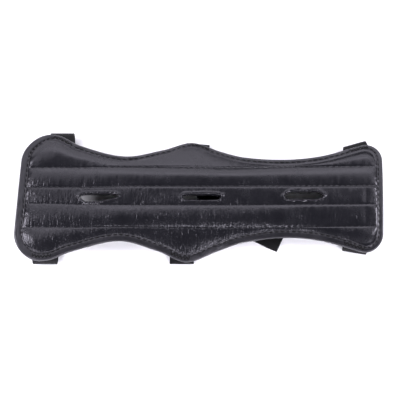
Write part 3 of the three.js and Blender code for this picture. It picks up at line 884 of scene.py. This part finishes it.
def make_binding(sizes, materials):
    """The binding: a folded tape carried round the pad's edge. Its section is a U with a rounded outer
    side, the upper leg pressed down along the stitch line and puffed a little between stitches."""
    points, inward, at = edge_path(sizes, TAPE_STEP)
    rng = np.random.default_rng(SEED + 1)
    wall = sizes.binding_wall
    rim = sizes.rim_thickness
    gap = 0.12 * MM
    middle = rim / 2
    tall = rim / 2 + gap + wall
    bevel = 0.25 * MM
    bevelled = 0.6 * wall
    arc_points, leg_points = 13, 14
    # Columns of the section: share of the flap's width, inset of its own, and height
    turn = np.linspace(-np.pi / 2, np.pi / 2, arc_points)
    outer = np.column_stack((0 * turn, -sizes.binding_reach * np.cos(turn), middle + tall * np.sin(turn)))
    leg = np.linspace(0, 1, leg_points + 1)[1:]
    upper, lower = (
        np.column_stack((leg, 0 * leg, np.full_like(leg, level)))
        for level in (middle + tall, middle - tall)
    )
    edge = np.array([(1, bevel, rim + gap + bevelled), (1, 0, rim + gap)])
    inner = np.array([(0.5, 0, rim + gap), (0, -gap, rim + gap), (0, -gap, -gap), (0.5, 0, -gap)])
    under_edge = np.array([(1, 0, -gap), (1, bevel, -gap - bevelled)])
    share, own_inset, height = np.vstack((outer, upper, edge, inner, under_edge, lower[::-1])).T

    flap = flap_width(sizes, points[:, 0], points[:, 1])[:, None]
    inset = share[None, :] * flap + own_inset[None, :]
    above = height[None, :] > middle
    valley, valley_half = 0.45 * MM, 0.6 * MM
    near_stitch = np.exp(-((inset - (flap - sizes.stitch_inset)) / valley_half) ** 2) * above
    on_flap = smooth(0, 2 * MM, inset) * (height[None, :] > rim)
    between = 0.5 - 0.5 * np.cos(2 * np.pi * at / sizes.stitch_pitch)[:, None]
    ripple = waves(rng, at, np.zeros_like(at), count=12, lengths=(9 * MM, 30 * MM), spread=0.1)
    ripple_up, ripple_in = 0.12 * MM, 0.15 * MM
    heights = height[None, :] - valley * near_stitch * (1 - 0.5 * between)
    heights = heights + ripple_up * on_flap * ripple[:, None]
    insets = inset + ripple_in * on_flap * np.roll(ripple, 40)[:, None]
    flat = points[:, None, :] + inward[:, None, :] * insets[..., None]
    sections = on_arch(sizes, flat[..., 0], flat[..., 1], heights)
    vertices, quads = sweep(sections, ring=True)
    return make_piece("binding_tape", vertices, quads, materials)


def strip_plan(strip):
    """A strip's row of STRIPS as named lengths in metres, with its lean and heading in radians."""
    row = dict(zip(STRIP_COLUMNS, STRIPS[strip]))
    lengths = ("x", "reach", "sewn", "end_x", "end_y", "lap")
    row.update({name: row[name] * MM for name in lengths})
    row.update({name: math.radians(row[name]) for name in ("lean", "heading")})
    return row


def height_under_pad(sizes, plan):
    """Height of the middle of sewn webbing straight below places in plan, with room for the fold beneath
    it."""
    depth = sizes.binding_reach + WEB_GAP + sizes.web_thickness / 2
    x = plan[..., 0] - SKEW * plan[..., 1]
    radius = arch_radius(x)
    sideways = plan[..., 1] - section("middle", x)
    height = sizes.crown - radius + np.sqrt((radius - depth) ** 2 - sideways ** 2)
    return np.maximum(height, sizes.web_thickness / 2 + LEAST_FOLD)


def bezier(corners, t):
    """Points and directions of a cubic curve through four control points, at t."""
    a, b, c, d = (np.asarray(corner) for corner in corners)
    t = t[:, None]
    points = a * (1 - t) ** 3 + 3 * b * t * (1 - t) ** 2 + 3 * c * t * t * (1 - t) + d * t ** 3
    ahead = 3 * ((b - a) * (1 - t) ** 2 + 2 * (c - b) * t * (1 - t) + (d - c) * t * t)
    return points, ahead / np.hypot(*ahead.T)[:, None]


def strip_edges(sizes, row):
    """Left and right edges of a strip's middle surface, from its sewn end, out past the pad's edge, round
    a half ellipse and along the surface on a cubic curve to its free end, climbing onto its tab where it
    has one."""
    outward = np.array([-math.sin(row["lean"]), row["side"] * math.cos(row["lean"])])
    across = np.array([-outward[1], outward[0]])
    fold = np.array([row["x"], row["side"] * row["reach"]])
    floor_level = sizes.web_thickness / 2
    half = sizes.web_width / 2

    def plan_at(inset, sideways):
        inset = np.asarray(inset, dtype=float)[..., None]
        return fold - outward * inset + across * sideways

    def level_at(inset):
        levels = [height_under_pad(sizes, plan_at(inset, half * place)) for place in (-1, 0, 1)]
        return np.min(levels, axis=0)

    fold_radius = (level_at(0.0) - floor_level) / 2
    sewn = np.linspace(row["sewn"], fold_radius, SEWN_STEPS)
    turn = np.linspace(0, np.pi, FOLD_STEPS)[1:]
    fold_inset = fold_radius * (1 - np.sin(turn))
    fold_level = floor_level + (level_at(fold_radius) - floor_level) * (1 + np.cos(turn)) / 2
    start = plan_at(fold_radius, 0)
    finish = np.array([row["end_x"], row["end_y"]])
    heading = np.array([math.cos(row["heading"]), math.sin(row["heading"])])
    pull = PULL * np.hypot(*(finish - start))
    t = np.linspace(0, 1, RUN_STEPS)[1:]
    run, ahead = bezier((start, start - outward * pull, finish - heading * pull, finish), t)
    walked = np.cumsum(np.hypot(*np.diff(np.vstack((start, run)), axis=0).T))
    to_end = walked[-1] - walked
    lap_level = floor_level + sizes.web_thickness + WEB_GAP
    climb = 1 - smooth(row["lap"], row["lap"] + CLIMB, to_end) if row["lap"] else np.zeros_like(to_end)
    run_level = floor_level + (lap_level - floor_level) * climb
    run_across = np.column_stack((ahead[:, 1], -ahead[:, 0]))
    edges = []
    for side in (-1, 1):
        plan = np.vstack((
            plan_at(sewn, side * half),
            plan_at(fold_inset, side * half),
            run + run_across * side * half,
        ))
        level = np.concatenate((level_at(sewn), fold_level, run_level))
        edges.append(np.column_stack((plan + MIDDLE_LINE, level)))
    return edges


def make_strip(sizes, name, materials):
    """A strip of webbing: a rounded flat section carried along its path."""
    left, right = strip_edges(sizes, strip_plan(name))
    middle = (left + right) / 2
    ahead = np.gradient(middle, axis=0)
    ahead /= np.linalg.norm(ahead, axis=1)[:, None]
    across = right - left
    across /= np.linalg.norm(across, axis=1)[:, None]
    normal = np.cross(ahead, across)
    normal /= np.linalg.norm(normal, axis=1)[:, None]
    half = sizes.web_width / 2
    thick = sizes.web_thickness / 2
    corner = 0.55 * MM
    turn = np.linspace(0, np.pi / 2, 5)
    quarter = np.column_stack((
        half - corner + corner * np.cos(turn), thick - corner + corner * np.sin(turn),
    ))
    flats = np.linspace(0.9, -0.9, 9)[:, None] * np.array([half - corner, 0])
    upper = np.vstack((quarter, flats + np.array([0, thick]), quarter[::-1] * np.array([-1, 1])))
    profile = np.vstack((upper, upper[::-1] * np.array([1, -1])))
    sections = (
        middle[:, None, :]
        + across[:, None, :] * profile[None, :, :1]
        + normal[:, None, :] * profile[None, :, 1:]
    )
    walked = np.concatenate(([0], np.cumsum(np.linalg.norm(np.diff(middle, axis=0), axis=1))))
    uv = np.stack(np.broadcast_arrays(profile[None, :, 0], walked[:, None]), axis=-1)
    vertices, quads = sweep(sections, ring=False)
    return make_piece(name + "_webbing", vertices, quads, materials, uv=uv)


def make_stitches(name, thread, starts, ends, up, materials):
    """Stitches as slim bows of thread: a ring of points carried from each start to each end, standing up
    by an arc between them and narrowing into the holes."""
    rings = 7
    around = 6
    t = np.linspace(0, 1, rings)
    bow = np.sin(np.pi * t)
    turn = np.arange(around) * 2 * np.pi / around
    ahead = ends - starts
    length = np.linalg.norm(ahead, axis=1)
    ahead = ahead / length[:, None]
    beside = np.cross(up, ahead)
    beside /= np.linalg.norm(beside, axis=1)[:, None]
    over = np.cross(ahead, beside)
    radius = thread / 2
    width = radius * (0.55 + 0.45 * bow)
    rise = radius * (0.9 * bow - 0.6)
    centre = (
        starts[:, None, :]
        + (ends - starts)[:, None, :] * t[None, :, None]
        + over[:, None, :] * rise[None, :, None]
    )
    points = (
        centre[:, :, None, :]
        + beside[:, None, None, :] * (width[:, None] * np.cos(turn))[None, :, :, None]
        + over[:, None, None, :] * (width[:, None] * np.sin(turn))[None, :, :, None]
    )
    numbers = np.arange(rings * around).reshape(rings, around)
    cap = np.array([(0, 1, 2, 3), (0, 3, 4, 5)])
    one = np.vstack((
        grid_faces(np.hstack((numbers, numbers[:, :1]))), numbers[0][cap], numbers[-1][cap[:, ::-1]],
    ))
    shifts = np.arange(len(starts))[:, None, None] * rings * around
    every = (one[None] + shifts).reshape(-1, 4)
    places = np.stack(np.broadcast_arrays(
        (turn * radius)[None, None, :], (t[None, :] * length[:, None])[:, :, None],
    ), axis=-1)
    return make_piece(name, points, every, materials, uv=places)


def surface_up(sizes, x, across):
    """Direction away from the lining at places on the arch."""
    up = on_arch(sizes, x, across, np.full_like(x, MM)) - on_arch(sizes, x, across, np.zeros_like(x))
    return up / np.linalg.norm(up, axis=1)[:, None]


def make_seam_stitches(sizes, materials):
    """Rows of stitches in the four seams, from one rim to the other."""
    margin = sizes.binding_reach + sizes.rim_width + 1.5 * MM
    holes = np.arange(ELBOW_END + margin, WRIST_END - margin - sizes.stitch_pitch, sizes.stitch_pitch)
    starts, ends, ups = [], [], []
    tips = holes + sizes.stitch_length
    for seam_start, seam_end in zip(channel_lines(sizes, holes)[1:-1], channel_lines(sizes, tips)[1:-1]):
        foot = sizes.seam_thickness - sizes.seam_pull
        height = sizes.flush + (foot - sizes.flush) * end_rise(sizes, holes, seam_start)
        starts.append(on_arch(sizes, holes, seam_start, height))
        ends.append(on_arch(sizes, tips, seam_end, height))
        ups.append(surface_up(sizes, holes, seam_start))
    thread = SEAM_THREAD * sizes.thread
    return make_stitches(
        "seam_stitches", thread, np.vstack(starts), np.vstack(ends), np.vstack(ups), materials,
    )


def edge_points(sizes, at, share, inset, height):
    """Points over the pad's edge at distances along it, moved in by a share of the flap's width and an
    inset, and up by a height over the lining, with the way up at each."""
    points, inward, walked = edge_path(sizes, STITCH_STEP)
    whole = walked[-1] + walked[1]
    place = at % whole
    closed_at = np.append(walked, whole)
    base, lead = (
        [np.interp(place, closed_at, np.append(values[:, axis], values[0, axis])) for axis in (0, 1)]
        for values in (points, inward)
    )
    moved = share * flap_width(sizes, base[0], base[1]) + inset
    x, across = (base[axis] + lead[axis] * moved for axis in (0, 1))
    return on_arch(sizes, x, across, height), surface_up(sizes, x, across)


def make_border_stitches(sizes, materials):
    """A row of stitches along the inner side of the binding, all the way round."""
    _, _, walked = edge_path(sizes, STITCH_STEP)
    whole = walked[-1] + walked[1]
    count = int(round(whole / sizes.stitch_pitch))
    pitch = whole / count
    at = np.arange(count) * pitch
    height = sizes.rim_thickness + sizes.binding_wall - STITCH_SINK
    starts, ups = edge_points(sizes, at, 1, -sizes.stitch_inset, height)
    tips = at + pitch * sizes.stitch_length / sizes.stitch_pitch
    ends, _ = edge_points(sizes, tips, 1, -sizes.stitch_inset, height)
    return make_stitches("border_stitches", sizes.thread, starts, ends, ups, materials)


def make_bar_tacks(sizes, materials):
    """Zigzags of close stitches across the binding, where each strip is sewn under it."""
    points, _, walked = edge_path(sizes, STITCH_STEP)
    height = sizes.rim_thickness + sizes.binding_wall + STITCH_SINK
    half, pitch = 9 * MM, 1.5 * MM
    # Places of the zigzag's two sides as shares of the flap's width
    outer, inner = 0.1, 0.65
    starts, ends, ups = [], [], []
    for name in STRIPS:
        row = strip_plan(name)
        on_side = np.where(points[:, 1] * row["side"] > 0, 0, 1)
        middle = walked[np.argmin(np.abs(points[:, 0] - row["x"]) + on_side)]
        at = middle - half + pitch * np.arange(round(2 * half / pitch))
        turns = np.arange(len(at)) % 2
        first, up = edge_points(sizes, at, np.where(turns, outer, inner), 0, height)
        second, _ = edge_points(sizes, at + pitch, np.where(turns, inner, outer), 0, height)
        starts.append(first)
        ends.append(second)
        ups.append(up)
    return make_stitches(
        "bar_tacks", sizes.thread, np.vstack(starts), np.vstack(ends), np.vstack(ups), materials,
    )


class ARMGUARD_OT_pad(bpy.types.Operator):
    """Make the quilted pad with its vent slots"""

    bl_idname = "armguard.make_pad"
    bl_label = "Quilted pad"

    def execute(self, context):
        sizes = context.scene.armguard_sizes
        colours = context.scene.armguard_colours
        vinyl = coated_cloth(
            "glossy_vinyl_coated_cloth", colours.vinyl, rough=0.24, gloss=0.5,
            crease_height=0.07 * MM, grain_height=0.03 * MM,
        )
        lining = woven_cloth(
            "black_knitted_lining", colours.lining, thread_pitch=1.1 * MM, relief=0.12 * MM,
            rough=0.85, gloss=0.05, sheen=0.0,
        )
        pad = make_pad(sizes, (vinyl, lining))
        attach(pad, "root")
        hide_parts("guard_pad")
        return {"FINISHED"}


class ARMGUARD_OT_binding(bpy.types.Operator):
    """Make the folded binding round the edge"""

    bl_idname = "armguard.make_binding"
    bl_label = "Bound edge"

    def execute(self, context):
        sizes = context.scene.armguard_sizes
        colours = context.scene.armguard_colours
        tape = coated_cloth(
            "satin_vinyl_binding_tape", colours.binding, rough=0.34, gloss=0.7,
            crease_height=0.04 * MM, grain_height=0.09 * MM,
        )
        binding = make_binding(sizes, (tape,))
        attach(binding, "root")
        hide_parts("edge_binding")
        return {"FINISHED"}


class ARMGUARD_OT_webbing(bpy.types.Operator):
    """Make the straps and tabs"""

    bl_idname = "armguard.make_webbing"
    bl_label = "Straps and tabs"

    def execute(self, context):
        sizes = context.scene.armguard_sizes
        colours = context.scene.armguard_colours
        webbing = woven_cloth(
            "woven_elastic_webbing", colours.webbing, thread_pitch=1.3 * MM, relief=0.18 * MM,
            rough=0.8, gloss=0.25, sheen=0.05,
        )
        for name in STRIPS:
            strip = make_strip(sizes, name, (webbing,))
            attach(strip, "root")
            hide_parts(name)
        return {"FINISHED"}


class ARMGUARD_OT_stitches(bpy.types.Operator):
    """Make the stitches of the seams, the border and the strips' ends"""

    bl_idname = "armguard.make_stitches"
    bl_label = "Stitches"

    def execute(self, context):
        sizes = context.scene.armguard_sizes
        colours = context.scene.armguard_colours
        thread = woven_cloth(
            "twisted_polyester_thread", colours.thread, thread_pitch=0.5 * MM, relief=0.06 * MM,
            rough=0.7, gloss=0.25, sheen=0.0,
        )
        seams = make_seam_stitches(sizes, (thread,))
        border = make_border_stitches(sizes, (thread,))
        tacks = make_bar_tacks(sizes, (thread,))
        for stitches, slot in ((seams, "vinyl"), (border, "binding"), (tacks, "binding")):
            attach(stitches, "root")
        return {"FINISHED"}


def add_panel_light(name, brightness, width, height, place, target, turn):
    """Rectangular light of an even brightness that faces a target, turned by degrees about the way that
    it faces."""
    data = bpy.data.lights.new(name, "AREA")
    data.shape = "RECTANGLE"
    data.size = width
    data.size_y = height
    data.energy = brightness * math.pi * width * height
    data.color = LIGHT_TINT
    light = bpy.data.objects.new(name, data)
    light.location = place
    facing = (Vector(target) - Vector(place)).to_track_quat("-Z", "Y")
    light.rotation_euler = (facing @ Quaternion((0, 0, 1), math.radians(turn))).to_euler()
    bpy.context.scene.collection.objects.link(light)
    return light


class ARMGUARD_OT_stage(bpy.types.Operator):
    """Make the floor, the lights and the camera"""

    bl_idname = "armguard.make_stage"
    bl_label = "Floor, lights and camera"

    def execute(self, context):
        scene = context.scene
        stage = scene.armguard_stage
        reach = np.linspace(-FLOOR_HALF, FLOOR_HALF, 3)
        plan = np.stack(np.meshgrid(reach, reach, indexing="ij"), axis=-1)
        corners = np.dstack((plan, np.zeros(plan.shape[:2])))
        quads = grid_faces(np.arange(9).reshape(3, 3))
        floor = make_piece("floor", corners, quads, (floor_paper(scene.armguard_colours.floor),))

        lights = {
            name: add_panel_light(name, getattr(stage, brightness), *form)
            for name, (brightness, *form) in PANELS.items()
        }
        # The low light on the left lights the floor alone
        floor_alone = bpy.data.collections.new("lit_by_low_left")
        floor_alone.objects.link(floor)
        lights["low_left"].light_linking.receiver_collection = floor_alone
        world = bpy.data.worlds.new("room")
        world.use_nodes = True
        background = world.node_tree.nodes["Background"]
        background.inputs["Color"].default_value = (*LIGHT_TINT, 1)
        background.inputs["Strength"].default_value = stage.room_light
        scene.world = world
        scene.view_settings.view_transform = "Standard"

        # The camera looks along the guard's width from the front
        elevation = stage.elevation
        up = Vector((0, math.sin(elevation), math.cos(elevation)))
        back = Vector((0, -math.cos(elevation), math.sin(elevation)))
        crown = Vector((*MIDDLE_LINE, CROWN_TOP))
        aim = crown + Vector((AIM_RIGHT, 0, 0)) - up * AIM_DOWN
        data = bpy.data.cameras.new("camera")
        data.lens = stage.lens
        data.sensor_width = SENSOR_WIDTH
        camera = bpy.data.objects.new("camera", data)
        camera.location = aim + back * stage.distance
        camera.rotation_euler = (math.pi / 2 - elevation, 0, 0)
        scene.collection.objects.link(camera)
        scene.camera = camera
        return {"FINISHED"}


class ARMGUARD_PT_sidebar(bpy.types.Panel):
    """Lists the guard's pieces and settings"""

    bl_idname = "ARMGUARD_PT_sidebar"
    bl_label = "Archery arm guard"
    bl_space_type = "VIEW_3D"
    bl_region_type = "UI"
    bl_category = "Arm guard"

    def draw(self, context):
        for operator in OPERATORS:
            self.layout.operator(operator.bl_idname)
        for group in (getattr(context.scene, name) for name in GROUPS):
            box = self.layout.box()
            for name in group.bl_rna.properties.keys():
                if name not in ("rna_type", "name"):
                    box.prop(group, name)


GROUPS = {
    "armguard_sizes": ArmGuardSizes,
    "armguard_colours": ArmGuardColours,
    "armguard_stage": ArmGuardStage,
}
OPERATORS = (
    ARMGUARD_OT_stage, ARMGUARD_OT_pad, ARMGUARD_OT_binding, ARMGUARD_OT_webbing, ARMGUARD_OT_stitches,
)


def register():
    for kind in (*GROUPS.values(), *OPERATORS, ARMGUARD_PT_sidebar):
        bpy.utils.register_class(kind)
    for name, kind in GROUPS.items():
        setattr(bpy.types.Scene, name, PointerProperty(type=kind))


def unregister():
    for name in GROUPS:
        delattr(bpy.types.Scene, name)
    for kind in (ARMGUARD_PT_sidebar, *reversed(OPERATORS), *reversed(GROUPS.values())):
        bpy.utils.unregister_class(kind)


def main():
    register()
    for operator in OPERATORS:
        group, name = operator.bl_idname.split(".")
        getattr(getattr(bpy.ops, group), name)()


if __name__ == "__main__":
    main()
